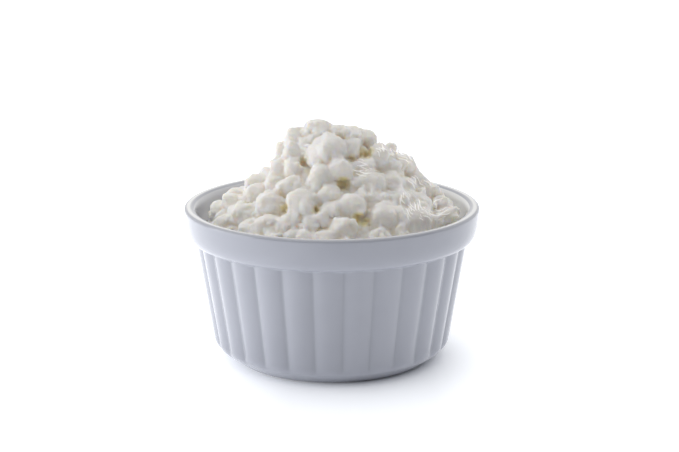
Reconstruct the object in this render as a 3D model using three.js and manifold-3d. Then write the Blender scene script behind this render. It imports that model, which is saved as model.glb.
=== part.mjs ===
// A fluted porcelain ramekin heaped with large-curd cottage cheese.
//
// Millimetres, +Z up.  The origin is on the table, on the dish's axis, and -Y is the front.
// Two solids: the dish, turned about Z and then fluted, and the cheese, a core that fills the
// dish and rises to a dome, with its curds fused on.

import * as THREE from "three";
import { mergeVertices } from "three/addons/utils/BufferGeometryUtils.js";
import Module from "manifold-3d";

const wasm = await Module();
wasm.setup();

const TURN = 2 * Math.PI;
const GOLDEN = (1 + Math.sqrt(5)) / 2;
const TOUCHING = 1e-5; // corners nearer to each other than this are one
const degrees = THREE.MathUtils.degToRad;

// ---- driving dimensions: the dish ----
const RIM_RADIUS = 45; // half of the 90 mm across the collar
const DISH_HEIGHT = 47.3;
const SHOULDER_HEIGHT = 45.9; // where the collar is widest
const LIP_CREST_RADIUS = 42.9; // where the lip is highest
const FOOT_RADIUS = 30; // the outer edge of the ring that it stands on
const FOOT_RING_WIDTH = 3;
const FOOT_RECESS = 1.2;
const FOOT_ROUND = 1.2;
const BODY_BASE = { radius: 36.25, height: 4.7, round: 5.5 }; // where foot and body would meet
const BODY_SLOPE = 0.165; // how far the body widens for each millimetre up
const COLLAR_BOTTOM = 37.5;
const COLLAR_FOOT_RADIUS = 42.5;
const COLLAR_UNDERCUT = 0.3; // how far the collar's underside rises towards the body
const INNER_BASE_RADIUS = 31; // the inner wall carried down to the table
const INNER_SLOPE = 0.224;
const INNER_TOP = 44.6; // above this height the lip rounds over
const FLOOR_HEIGHT = 5;
const FLOOR_ROUND = 4;

// The collar's outline in three curves that meet, each as its ends and the handles between them,
// [radius, height].
const COLLAR_SIDE = [
  [COLLAR_FOOT_RADIUS, COLLAR_BOTTOM],
  [44.2, 38.2],
  [44.75, 40.7],
  [RIM_RADIUS, SHOULDER_HEIGHT],
];
const COLLAR_SHOULDER = [
  [RIM_RADIUS, SHOULDER_HEIGHT],
  [RIM_RADIUS, 46.9],
  [44.4, DISH_HEIGHT],
  [LIP_CREST_RADIUS, DISH_HEIGHT],
];
const LIP_HANDLE = [41.2, DISH_HEIGHT]; // the lip rolls over this point to the inner wall

// ---- driving dimensions: the flutes ----
const FLUTES = 28;
const SIDES_PER_FLUTE = 4;
const FLUTE_DEPTH = 0.95;
const FLUTE_START = 5.1; // degrees from the front to the first groove, towards +X
const FLUTE_FADE_IN = [2.6, 7]; // heights between which the flutes begin
const FLUTE_FADE_OUT = [36.4, 37.8]; // heights between which they run out under the collar
const WALL_CLEAR = 0.5; // what lies further out than this from the inner wall is the outside

// ---- driving dimensions: the heap ----
// The outline through the curds' crests, as [distance from the axis, height], on both sides.
const LEFT_OUTLINE = [
  [0, 71.8],
  [11, 70.4],
  [14.4, 66.4],
  [15.8, 60.8],
  [20, 56.7],
  [40.6, 42.4],
];
const RIGHT_OUTLINE = [
  [0, 71.8],
  [9, 70.4],
  [15.4, 66],
  [21.4, 61],
  [40.6, 43.8],
];
const GAP = 0.3; // kept between the cheese and the porcelain
const CORE_DEPTH = 4.6; // how far the smooth core lies under the curds' crests
const CORE_RADII = [38.3, 31, 25, 20, 15.5, 10, 0];
const CORE_SIDES = 32;
const WALL_TOP = 39; // the core leaves the wall at this height
const ROOM_SIDES = 48;
const ROOM_TOP = 90; // above all the curds

// ---- driving dimensions: the curds ----
const CURD_SUNK = 0.9; // share of a curd's half depth that lies under the dome
const CURD_SQUARE = 2.6; // 2 is an ellipsoid, and more is boxier
const CURD_ROUGH = 0.08;
const CORNER_OUT = 1.1; // how far its corners stand out, so that its faces lie on the outline
const CURD_DEPTH = 0.227; // a curd's half depth, as a share of its width and height together
const LEAST_DEPTH = 2.9; // the least half depth, which still reaches the core
const LARGE_CURD = 9; // a curd at least this wide gets the most sides
const SMALL_CURD = 7; // a curd narrower than this gets the fewest
const WALL_PLACES = 26; // places in a ring of curds along the wall
const FILL_PLACES = 130; // places on a spiral inside that ring
const FILL_REACH = 36.8; // how far from the axis the ring runs and the spiral ends
const FILL_SIZE = [5.8, 9];
const FILL_SLIMNESS = 0.28; // by how much of its width a fill curd may be lower than wide
const FILL_SHAKE = 1.6; // how far a fill curd strays from its place, in and out
const FILL_TURN = degrees(5.7); // and how far round
const FILL_CLEAR = 0.7; // share of two curds' half widths that keeps their centres apart
const GAP_CLEAR = 1.2; // room left between a fill curd and the middle of a deep gap
const SLOPE_REACH = 2; // how far to each side the dome's slope is taken

// The viewpoint from which the front curds' places are told: ahead of the dish, looking down.
const VIEW_DISTANCE = 550;
const VIEW_TILT = degrees(14.1);
const AIM = new THREE.Vector3(0, 0, 40.28);
const VIEW_UP = new THREE.Vector3(0, Math.sin(VIEW_TILT), Math.cos(VIEW_TILT));
const VIEW_BACK = new THREE.Vector3(0, -Math.cos(VIEW_TILT), Math.sin(VIEW_TILT));
const EYE = AIM.clone().addScaledVector(VIEW_BACK, VIEW_DISTANCE);
const SIGHT = { nearest: 490, farthest: 590, step: 0.25 }; // where a line of sight is searched

// The curds of the front: how far across and up from AIM each is seen, how wide and tall it is,
// and how many degrees its wide side is tilted, anticlockwise.
const FRONT_CURDS = [
  // the crown
  [-4.2, 29.4, 7.4, 6.2, -8],
  [-10.8, 28.2, 5.2, 3.8, 5],
  [-11.7, 26.3, 5.0, 4.2, 0],
  [-0.4, 28.6, 5.0, 4.4, 0],
  [3.3, 28.0, 5.2, 4.4, -15],
  [6.9, 26.8, 4.2, 3.8, -30],
  [11.2, 25.6, 5.4, 5.8, 10],
  [-1.9, 23.5, 10.2, 8.4, 20],
  [6.5, 23.9, 4.8, 5.0, 0],
  [-7.4, 25.4, 5.0, 5.2, 0],
  [-12.2, 22.9, 4.8, 6.4, -8],
  [-14.9, 22.6, 4.6, 6.0, 0],
  // the left flank
  [-10.5, 17.8, 6.6, 6.0, -10],
  [-15.6, 17.4, 5.8, 7.0, 0],
  [-19.6, 15.7, 4.6, 4.2, 0],
  [-23.5, 12.8, 6.4, 5.0, 35],
  [-22.8, 10.4, 7.0, 5.0, 15],
  [-18.2, 13.0, 4.8, 4.4, 0],
  [-12.5, 11.5, 7.2, 5.6, 35],
  [-18.8, 6.2, 8.4, 7.6, 35],
  [-9.0, 6.0, 9.5, 8.4, 90],
  [-30.0, 6.8, 7.0, 5.4, -20],
  [-26.2, 3.5, 8.2, 6.2, -20],
  [-30.4, 8.8, 5.6, 4.0, 12],
  [-35.0, 4.6, 5.4, 4.2, 80],
  [-19.6, -0.4, 7.8, 6.0, 8],
  [-12.9, -0.2, 6.8, 6.4, 0],
  [-26.0, -1.0, 6.0, 5.0, -10],
  // the right flank
  [-3.1, 14.3, 7.9, 7.9, 0],
  [2.5, 17.4, 7.8, 6.2, -8],
  [10.0, 18.0, 6.4, 4.6, -8],
  [14.3, 20.5, 5.0, 6.4, -30],
  [17.3, 22.1, 4.4, 6.6, -15],
  [11.5, 13.2, 9.6, 6.0, -4],
  [18.4, 12.7, 6.4, 6.0, 0],
  [18.4, 17.6, 5.0, 4.8, 0],
  [22.7, 17.4, 6.2, 5.6, -20],
  [27.0, 13.2, 6.6, 4.8, -40],
  [30.2, 10.2, 8.0, 4.8, -12],
  [-0.4, 9.0, 6.6, 6.0, 0],
  [9.6, 8.9, 4.6, 4.4, 0],
  [14.0, 8.0, 5.8, 5.4, 0],
  [6.2, 6.1, 9.0, 7.0, -15],
  [0.9, 4.3, 5.2, 5.6, 60],
  [-3.6, 2.1, 6.2, 5.2, 40],
  [3.4, -1.0, 7.6, 6.0, 0],
  [15.7, 2.3, 9.6, 7.8, -20],
  [20.2, 1.2, 5.2, 7.0, -20],
  [20.6, 7.2, 7.0, 6.0, 0],
  [25.8, 6.4, 8.4, 7.0, -30],
  [26.4, 1.8, 8.0, 5.6, -5],
  [33.4, 6.0, 5.2, 4.4, 0],
  [34.6, 3.4, 7.4, 4.0, 18],
];

// Where the front is open between the curds, told in the same way.
const DEEP_GAPS = [
  [3.4, 13.0],
  [8.9, 1.7],
  [10.6, 21.3],
  [6.2, 20.8],
  [-8.2, 19.6],
  [-5.1, 4.6],
  [-14.6, 5.8],
  [-35.0, 7.4],
];

// ---- small helpers ----

/** A number from 0 to 1 that looks random but is fixed by ITEM and TRAIT. */
function chance(item, trait) {
  const wave = 43758.5453 * Math.sin(12.9898 * item + 78.233 * trait);
  return wave - Math.floor(wave);
}

/** 0 before START, 1 after END and a smooth S between. */
function ease(value, start, end) {
  const t = THREE.MathUtils.clamp((value - start) / (end - start), 0, 1);
  return t * t * (3 - 2 * t);
}

/** Corners [radius, height, round, steps] joined by straight lines, the rounded ones as arcs. */
function roundedProfile(corners) {
  const points = [];
  corners.forEach(([r, z, round, steps], index) => {
    const corner = new THREE.Vector2(r, z);
    if (!round) {
      points.push(corner);
      return;
    }
    const [before, after] = [corners[index - 1], corners[index + 1]];
    const back = new THREE.Vector2(before[0], before[1]).sub(corner).normalize();
    const ahead = new THREE.Vector2(after[0], after[1]).sub(corner).normalize();
    const half = Math.acos(THREE.MathUtils.clamp(back.dot(ahead), -1, 1)) / 2;
    const reach = round / Math.tan(half);
    const arc = new THREE.QuadraticBezierCurve(
      corner.clone().addScaledVector(back, reach),
      corner,
      corner.clone().addScaledVector(ahead, reach),
    );
    points.push(...arc.getPoints(steps));
  });
  return points;
}

/** A profile turned about Z, with its angle 0 at the front and growing towards +X. */
function turned(profile, sides, start = 0) {
  const geometry = new THREE.LatheGeometry(profile, sides, start, TURN);
  return geometry.rotateX(TURN / 4);
}

/** The geometry with its shared corners merged and its collapsed triangles dropped. */
function merged(geometry) {
  const bare = new THREE.BufferGeometry();
  bare.setAttribute("position", geometry.getAttribute("position"));
  bare.setIndex(geometry.getIndex());
  const joined = mergeVertices(bare, TOUCHING);
  const corners = joined.getIndex().array;
  const kept = [];
  for (let i = 0; i < corners.length; i += 3) {
    const [a, b, c] = corners.slice(i, i + 3);
    if (a !== b && b !== c && c !== a) kept.push(a, b, c);
  }
  joined.setIndex(kept);
  return joined;
}

/** A closed geometry as a solid that can be joined and cut. */
function solid(geometry) {
  const { position } = geometry.attributes;
  return new wasm.Manifold(
    new wasm.Mesh({
      numProp: 3,
      vertProperties: new Float32Array(position.array),
      triVerts: new Uint32Array(geometry.getIndex().array),
    }),
  );
}

/** A solid's surface as a geometry. */
function surface(body) {
  const mesh = body.getMesh();
  const geometry = new THREE.BufferGeometry();
  const places = new Float32Array(mesh.vertProperties);
  geometry.setAttribute("position", new THREE.BufferAttribute(places, 3));
  geometry.setIndex([...mesh.triVerts]);
  return geometry;
}

/** A named mesh of one colour. */
function piece(name, geometry, { color, roughness }) {
  geometry.computeVertexNormals();
  const material = new THREE.MeshStandardMaterial({ color, roughness, metalness: 0 });
  const mesh = new THREE.Mesh(geometry, material);
  mesh.name = name;
  return mesh;
}

// ---- the dish ----

/** The radius of the inner wall at HEIGHT. */
const innerRadius = (height) => INNER_BASE_RADIUS + INNER_SLOPE * height;

/** The radius of the body at HEIGHT, over the flutes' crests. */
const bodyRadius = (height) => BODY_BASE.radius + BODY_SLOPE * (height - BODY_BASE.height);

/** How deep the flutes are at HEIGHT, from 0 to 1. */
function fluteShare(height) {
  return ease(height, ...FLUTE_FADE_IN) * (1 - ease(height, ...FLUTE_FADE_OUT));
}

/** How far the groove between two convex flutes cuts in at ANGLE, from 0 to 1. */
function groove(angle) {
  const along = (FLUTES * (angle - degrees(FLUTE_START))) / TURN;
  const fromCrest = 2 * (along - Math.floor(along)) - 1;
  return fromCrest * fromCrest;
}

/** Points [radius, height] as vectors, as the curves take them. */
const vectors = (points) => points.map(([radius, height]) => new THREE.Vector2(radius, height));

/** The dish's outline: from the axis out under the foot, up, over the lip and down inside. */
function dishProfile() {
  const footInner = FOOT_RADIUS - FOOT_RING_WIDTH;
  const outside = roundedProfile([
    [0, FOOT_RECESS],
    [footInner - FOOT_RECESS, FOOT_RECESS],
    [footInner, 0],
    [FOOT_RADIUS, 0, FOOT_ROUND, 1],
    [BODY_BASE.radius, BODY_BASE.height, BODY_BASE.round, 3],
    [bodyRadius(FLUTE_FADE_OUT[0]), FLUTE_FADE_OUT[0]],
    [bodyRadius(COLLAR_BOTTOM), COLLAR_BOTTOM + COLLAR_UNDERCUT],
  ]);
  const innerTop = [innerRadius(INNER_TOP), INNER_TOP];
  const side = new THREE.CubicBezierCurve(...vectors(COLLAR_SIDE));
  const shoulder = new THREE.CubicBezierCurve(...vectors(COLLAR_SHOULDER));
  const lip = new THREE.QuadraticBezierCurve(
    ...vectors([COLLAR_SHOULDER.at(-1), LIP_HANDLE, innerTop]),
  );
  const inside = roundedProfile([
    innerTop,
    [innerRadius(FLOOR_HEIGHT), FLOOR_HEIGHT, FLOOR_ROUND, 2],
    [0, FLOOR_HEIGHT],
  ]);
  return [
    ...outside,
    ...side.getPoints(3),
    ...shoulder.getPoints(3).slice(1),
    ...lip.getPoints(2).slice(1),
    ...inside.slice(1),
  ];
}

/** The dish: its profile turned, then drawn in where a groove runs up the outside. */
function dish() {
  const sides = FLUTES * SIDES_PER_FLUTE;
  const geometry = merged(turned(dishProfile(), sides, degrees(FLUTE_START)));
  const { position } = geometry.attributes;
  for (let i = 0; i < position.count; i++) {
    const [x, y, z] = [position.getX(i), position.getY(i), position.getZ(i)];
    const radius = Math.hypot(x, y);
    const outside = radius > innerRadius(z) + WALL_CLEAR && z < COLLAR_BOTTOM;
    if (!outside) continue;
    const cut = FLUTE_DEPTH * fluteShare(z) * groove(Math.atan2(x, -y));
    position.setXY(i, x * (1 - cut / radius), y * (1 - cut / radius));
  }
  return geometry;
}

// ---- the heap ----

/** The height of an outline at RADIUS, in a straight line between its points. */
function outlineHeight(outline, radius) {
  const next = Math.max(1, outline.findIndex(([distance]) => distance >= radius));
  const [[r0, z0], [r1, z1]] = outline.slice(next - 1, next + 1);
  return THREE.MathUtils.mapLinear(radius, r0, r1, z0, z1);
}

/** The height of the dome through the curds' crests, over the point (x, y). */
function domeHeight(x, y) {
  const last = LEFT_OUTLINE.at(-1)[0];
  const radius = Math.max(Math.hypot(x, y), TOUCHING);
  const inside = Math.min(radius, last);
  const right = (1 + x / radius) / 2;
  const left = outlineHeight(LEFT_OUTLINE, inside);
  return left + (outlineHeight(RIGHT_OUTLINE, inside) - left) * right - (radius - inside);
}

/** The dome's outward direction over the point (x, y), from its rise over a few millimetres. */
function domeNormal(x, y) {
  const riseX = domeHeight(x + SLOPE_REACH, y) - domeHeight(x - SLOPE_REACH, y);
  const riseY = domeHeight(x, y + SLOPE_REACH) - domeHeight(x, y - SLOPE_REACH);
  return new THREE.Vector3(-riseX, -riseY, 2 * SLOPE_REACH).normalize();
}

/** The point of the dome that is seen ACROSS and UP from AIM, or the nearest to that line. */
function seenOnDome(across, up) {
  const target = AIM.clone().addScaledVector(VIEW_UP, up);
  target.x = across;
  const sight = target.sub(EYE).divideScalar(VIEW_DISTANCE);
  let best = null;
  let deepest = -Infinity;
  for (let along = SIGHT.nearest; along < SIGHT.farthest; along += SIGHT.step) {
    const point = EYE.clone().addScaledVector(sight, along);
    const depth = domeHeight(point.x, point.y) - point.z;
    if (depth > deepest) {
      deepest = depth;
      best = point;
    }
    if (depth > 0) break;
  }
  return best;
}

/** A curd: its centre, its three half sizes, and the frame that they are measured along. */
function curdAt(place, [wide, tall, tilt], [side, up, out], number) {
  const deep = Math.max(CURD_DEPTH * (wide + tall), LEAST_DEPTH);
  const half = new THREE.Vector3(wide / 2, tall / 2, deep);
  const centre = place.clone().addScaledVector(out, -CURD_SUNK * half.z);
  const frame = new THREE.Matrix4().makeBasis(side, up, out);
  frame.multiply(new THREE.Matrix4().makeRotationZ(degrees(tilt)));
  return { centre, half, frame, number };
}

/** The curds that show from the front, each facing the viewpoint. */
function frontCurds() {
  const facing = [new THREE.Vector3(1, 0, 0), VIEW_UP, VIEW_BACK];
  return FRONT_CURDS.map(([across, up, ...shape], number) =>
    curdAt(seenOnDome(across, up), shape, facing, number),
  );
}

/** The fill curd NUMBER, shaken a little from its place RADIUS from the axis at ANGLE. */
function fillCurd(number, radius, angle) {
  const away = radius + FILL_SHAKE * (chance(number, 1) - 0.5);
  const turn = angle + FILL_TURN * (chance(number, 2) - 0.5);
  const [x, y] = [away * Math.sin(turn), -away * Math.cos(turn)];
  const wide = THREE.MathUtils.lerp(...FILL_SIZE, chance(number, 3));
  const tall = wide * (1 - FILL_SLIMNESS * chance(number, 4));
  const out = domeNormal(x, y);
  const side = new THREE.Vector3(0, 0, 1).cross(out).normalize();
  const frame = [side, out.clone().cross(side), out];
  const place = new THREE.Vector3(x, y, domeHeight(x, y));
  return curdAt(place, [wide, tall, 180 * chance(number, 5)], frame, number);
}

/** The places where a fill curd is tried: a ring along the wall, then a sunflower spiral. */
function fillPlaces() {
  const ring = Array.from({ length: WALL_PLACES }, (_, i) => [
    FILL_REACH,
    (TURN * i) / WALL_PLACES,
  ]);
  const spiral = Array.from({ length: FILL_PLACES }, (_, i) => [
    FILL_REACH * Math.sqrt((i + 0.5) / FILL_PLACES),
    (TURN * i) / GOLDEN,
  ]);
  return [...ring, ...spiral];
}

/** All the curds: those of the front, then fill curds wherever one has room. */
function allCurds() {
  const curds = frontCurds();
  const gaps = DEEP_GAPS.map(([across, up]) => seenOnDome(across, up));
  fillPlaces().forEach(([radius, angle], number) => {
    const curd = fillCurd(number, radius, angle);
    const { centre, half } = curd;
    const apart = (other) =>
      other.centre.distanceTo(centre) > FILL_CLEAR * (other.half.x + half.x);
    const open = (gap) => gap.distanceTo(centre) > half.x + GAP_CLEAR;
    if (curds.every(apart) && gaps.every(open)) curds.push(curd);
  });
  return curds;
}

/** The blank that a curd WIDE across is shaped from. */
function curdBlank(wide) {
  if (wide >= LARGE_CURD) return new THREE.IcosahedronGeometry(1, 1);
  if (wide >= SMALL_CURD) return new THREE.OctahedronGeometry(1, 1);
  return new THREE.IcosahedronGeometry(1, 0);
}

/** A curd's solid: a rounded box of few faces, each corner moved in or out a little. */
function curdSolid({ centre, half, frame, number }) {
  const geometry = merged(curdBlank(2 * half.x));
  const { position } = geometry.attributes;
  const corner = new THREE.Vector3();
  for (let i = 0; i < position.count; i++) {
    corner.fromBufferAttribute(position, i);
    const spread = corner.toArray().reduce((sum, v) => sum + Math.abs(v) ** CURD_SQUARE, 0);
    const rough = CORNER_OUT + CURD_ROUGH * (2 * chance(number, 10 + i) - 1);
    corner.multiplyScalar(rough * spread ** (-1 / CURD_SQUARE));
    corner.multiply(half).applyMatrix4(frame).add(centre);
    position.setXYZ(i, ...corner.toArray());
  }
  return solid(geometry);
}

/** The lower outline that core and room share: the dish's inside, less the gap. */
function insideProfile() {
  const corner = FLOOR_HEIGHT + FLOOR_ROUND - GAP;
  return vectors([
    [0, FLOOR_HEIGHT + GAP],
    [innerRadius(FLOOR_HEIGHT) - FLOOR_ROUND, FLOOR_HEIGHT + GAP],
    [innerRadius(corner) - 2 * GAP, corner],
  ]);
}

/** The smooth core: it fills the dish and follows the dome, CORE_DEPTH under the crests. */
function coreSolid() {
  const profile = insideProfile();
  profile.push(...vectors([[innerRadius(WALL_TOP) - GAP, WALL_TOP]]));
  profile.push(...vectors(CORE_RADII.map((radius) => [radius, ROOM_TOP])));
  const geometry = merged(turned(profile, CORE_SIDES));
  const { position } = geometry.attributes;
  for (let i = 0; i < position.count; i++) {
    if (position.getZ(i) < ROOM_TOP) continue;
    position.setZ(i, domeHeight(position.getX(i), position.getY(i)) - CORE_DEPTH);
  }
  return solid(geometry);
}

/** The room that the cheese may take: the inside of the dish, and all that is over it. */
function roomSolid() {
  const rim = innerRadius(INNER_TOP) - GAP;
  const profile = [...insideProfile(), ...vectors([[rim, INNER_TOP], [rim, ROOM_TOP], [0, ROOM_TOP]])];
  return solid(merged(turned(profile, ROOM_SIDES)));
}

/** The heap: core and curds joined, trimmed to the dish, without loose crumbs or bubbles. */
function heap() {
  let body = coreSolid();
  for (const curd of allCurds()) body = body.add(curdSolid(curd));
  const shells = body.intersect(roomSolid()).decompose();
  const largest = shells.reduce((a, b) => (b.volume() > a.volume() ? b : a));
  return surface(largest);
}

// ---- the whole ----

const PORCELAIN = { color: 0xeef0f4, roughness: 0.12 };
const CURD = { color: 0xf3f1e8, roughness: 0.35 };

const bowl = new THREE.Group();
bowl.add(piece("ramekin", dish(), PORCELAIN));
bowl.add(piece("cottage_cheese", heap(), CURD));

export default bowl;
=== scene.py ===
"""A fluted porcelain ramekin heaped with large-curd cottage cheese.

The ramekin is one turned surface whose outside is drawn in along its grooves.  The cheese is the
surface where a field is zero: the field measures how far a point lies outside the nearest curd,
and neighbouring curds melt into each other where cream bridges them.  Lengths are millimetres
until a mesh is made, and metres in the materials, the lights and the studio.
"""

import math

import bpy
import numpy as np
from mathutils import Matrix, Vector


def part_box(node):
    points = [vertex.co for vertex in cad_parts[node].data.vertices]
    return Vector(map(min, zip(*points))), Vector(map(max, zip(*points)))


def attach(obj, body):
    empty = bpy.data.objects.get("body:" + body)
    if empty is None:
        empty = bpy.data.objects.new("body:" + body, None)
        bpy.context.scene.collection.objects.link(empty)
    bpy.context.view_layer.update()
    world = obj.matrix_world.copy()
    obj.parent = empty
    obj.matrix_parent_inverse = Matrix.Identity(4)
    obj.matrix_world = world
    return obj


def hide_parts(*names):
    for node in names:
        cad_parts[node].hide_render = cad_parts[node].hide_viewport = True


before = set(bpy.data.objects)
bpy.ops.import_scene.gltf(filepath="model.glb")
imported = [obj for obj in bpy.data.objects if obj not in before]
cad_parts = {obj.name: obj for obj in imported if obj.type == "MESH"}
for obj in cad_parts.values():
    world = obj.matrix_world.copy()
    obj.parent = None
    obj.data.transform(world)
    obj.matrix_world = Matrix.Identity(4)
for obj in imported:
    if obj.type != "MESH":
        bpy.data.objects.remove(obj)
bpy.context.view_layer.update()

MM = 0.001
TURN = 2 * math.pi
GOLDEN = (1 + math.sqrt(5)) / 2
TINY = 1e-6

# ---- the dish ----
RIM_RADIUS = 45.0
DISH_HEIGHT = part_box("ramekin")[1].z / MM
SHOULDER_HEIGHT = 46.3
LIP_CREST_RADIUS = 43.6
FOOT_RADIUS = 30.0
FOOT_RING_WIDTH = 3.0
FOOT_RECESS = 1.2
FOOT_ROUND = 1.2
BODY_BASE_RADIUS = 36.25
BODY_BASE_HEIGHT = 4.7
BODY_BASE_ROUND = 5.5
BODY_SLOPE = 0.165  # how much the body's radius grows for each millimetre up
STRAIGHT_SIDE = (9.5, 36.2)  # the heights between which the body's side is straight
COLLAR_BOTTOM = 37.5
COLLAR_FOOT_RADIUS = 42.5
COLLAR_UNDERCUT = 0.3
COLLAR_ROOT_GAP = 0.04
# The handles, each (radius, height), of the collar's side and of its shoulder.
COLLAR_SIDE = [
    (COLLAR_FOOT_RADIUS, COLLAR_BOTTOM),
    (44.2, 38.2),
    (44.75, 40.7),
    (RIM_RADIUS, SHOULDER_HEIGHT),
]
COLLAR_SHOULDER = [
    (RIM_RADIUS, SHOULDER_HEIGHT),
    (RIM_RADIUS, 47.0),
    (44.6, DISH_HEIGHT),
    (LIP_CREST_RADIUS, DISH_HEIGHT),
]
LIP_HANDLE = (41.2, DISH_HEIGHT)  # it pulls the curve from the lip's crest down inside
INNER_BASE_RADIUS = 31.0
INNER_SLOPE = 0.224  # how much the inside's radius grows for each millimetre up
INNER_TOP = 44.6
WALL_FOOT = 12.0
FLOOR_HEIGHT = 5.0
FLOOR_ROUND = 4.0
EDGE_ROUND = 0.3  # the glaze softens every edge by this much

FLUTES = 28
SIDES_PER_FLUTE = 16
FLUTE_DEPTH = 0.95
FLUTE_START = math.radians(5.1)
FLUTE_FADE_IN = (2.6, 7.0)  # the heights over which the grooves start
FLUTE_FADE_OUT = (36.4, 37.8)  # and end, under the collar
WALL_CLEAR = 0.5  # what lies this close to the inner wall's line belongs to the inside

# ---- the glaze ----
# The outside's glaze is set darker and bluer than the glaze is, as painted shade; the lit colour below,
# used within the dish and on the lip, is the same glaze as painted light.
GLAZE_IN_PAINTED_SHADE = (0.375, 0.385, 0.435)
GLAZE_CLOUD = (0.385, 0.395, 0.445)
GLAZE_IN_GROOVES = (0.33, 0.345, 0.385)
GLAZE_PAINTED_LIT = (0.90, 0.90, 0.895)
BARE_CLAY = (0.70, 0.67, 0.61)
# How far the glaze is painted toward its lit colour, from 0 to 1, as painted light: on the inner wall,
# with a swing from a darker left to a lighter right, in the middle of the floor, on the shoulder, and how
# much less on the front of the crest's outer edge, as painted shade there.
WALL_PAINTED_LIGHT = 0.68
WALL_PAINTED_LIGHT_SWING = 0.30
FLOOR_PAINTED_LIGHT = 0.7
SHOULDER_PAINTED_LIGHT = 0.04
SHOULDER_PAINTED_LIGHT_RISE = (46.0, 46.6)
CREST_DEPTH = 0.1
CREST_FRONT = (0.2, 0.9)
CREST_EDGE = (43.2, 43.9)
CREST_FRONT_PAINTED_SHADE = 0.5
BARE_FOOT_HEIGHT = 0.25
BARE_FOOT_SPREAD = 0.5

# ---- the heap ----
CURD = (0.835, 0.818, 0.792)
CURD_CLOUD = (0.81, 0.79, 0.76)
# The colour painted in the hollows: warmer for the cream and whey that gather there, and darker as painted
# shade.
CURD_CREASE_TINT_AND_SHADE = (0.84, 0.76, 0.60)
WHEY = (0.82, 0.72, 0.38)
CREAM = (0.95, 0.94, 0.92)
CREAM_CLOUD = (0.90, 0.885, 0.86)
# The colour of the threads' glow, a painted glint
CREAM_PAINTED_GLINT = (1.0, 0.97, 0.93)
WRINKLE_SIZE = (1.1, 1.1, 4.5)
# The dome through the curds' crests, as (distance from the axis, height).
LEFT_OUTLINE = [(0, 71.8), (11, 70.4), (14.4, 66.4), (15.8, 60.8), (20, 56.7), (40.6, 42.4)]
RIGHT_OUTLINE = [(0, 71.8), (9, 70.4), (15.4, 66), (21.4, 61), (40.6, 43.8)]
SLOPE_REACH = 2.0
WALL_GAP = 0.05
CORE_DEPTH = 3.6  # how far under the dome the core ends
CORE_SLOPE = 0.75  # how fast the field of the core grows with the height over it
CURD_SUNK = 0.9  # how deep a curd sits in the dome, as a share of its half depth
CURD_DEPTH = 0.227  # the half depth for each millimetre of width and height together
LEAST_DEPTH = 2.9
WALL_PLACES = 26
FILL_PLACES = 130
FILL_REACH = 36.8
FILL_SIZE = (5.8, 9.0)
FILL_SLIMNESS = 0.28
FILL_SHAKE = 1.6
FILL_TURN = math.radians(5.7)
FILL_CLEAR = 0.7  # how far apart two curds are, as a share of their half widths together
GAP_CLEAR = 1.2
# Below the field, the heap goes down along the dish's inside: at each height, its gap to it.
FILLING_SIDE = [
    (28.0, 0.3),
    (20.0, 0.3),
    (12.0, 0.3),
    (FLOOR_HEIGHT + FLOOR_ROUND - 1, 0.5),
    (FLOOR_HEIGHT + 1, 1.6),
    (FLOOR_HEIGHT + 0.3, 4.0),
]

# The viewpoint from which the front curds' places are told.
VIEW_DISTANCE = 550.0
VIEW_TILT = math.radians(14.1)
AIM = np.array([0, 0, 40.28])
VIEW_UP = np.array([0, math.sin(VIEW_TILT), math.cos(VIEW_TILT)])
VIEW_BACK = np.array([0, -math.cos(VIEW_TILT), math.sin(VIEW_TILT)])
EYE = AIM + VIEW_DISTANCE * VIEW_BACK
SIGHT = np.arange(490, 590, 0.25)  # how far from the eye the heap is looked for

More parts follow.
